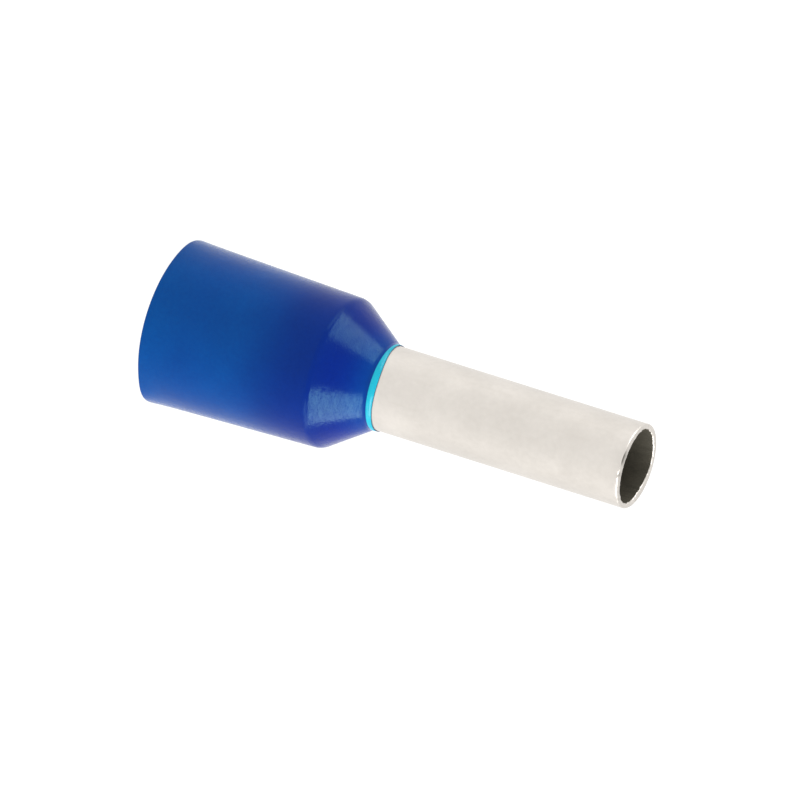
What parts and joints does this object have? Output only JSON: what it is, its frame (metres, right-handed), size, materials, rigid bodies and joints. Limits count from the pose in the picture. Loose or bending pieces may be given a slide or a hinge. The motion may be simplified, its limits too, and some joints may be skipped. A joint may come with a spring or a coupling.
{
  "type": "wire ferrule",
  "caption": "Insulated wire ferrule: a tin-plated copper crimp tube with a belled inner end, held in a blue moulded collar that guides the wire in and sleeves its insulation.",
  "frame": {"origin": "centre of the collar's mouth, in the plane of its rim, which is where it stands", "axes": "+Z along the axis, from the collar's mouth towards the tube's tip; X and Y are alike, because the part is round"},
  "size_m": [0.0048, 0.0048, 0.0147],
  "materials": {
    "collar_plastic": "satin moulded polypropylene, deep blue, thin and slightly see-through at the lip",
    "tinned_copper": "satin tin plate on drawn copper, warm white with faint lengthwise drawing marks"
  },
  "bodies": {
    "root": {"insulating_collar": "collar_plastic", "crimp_barrel": "tinned_copper"}
  },
  "joints": []
}
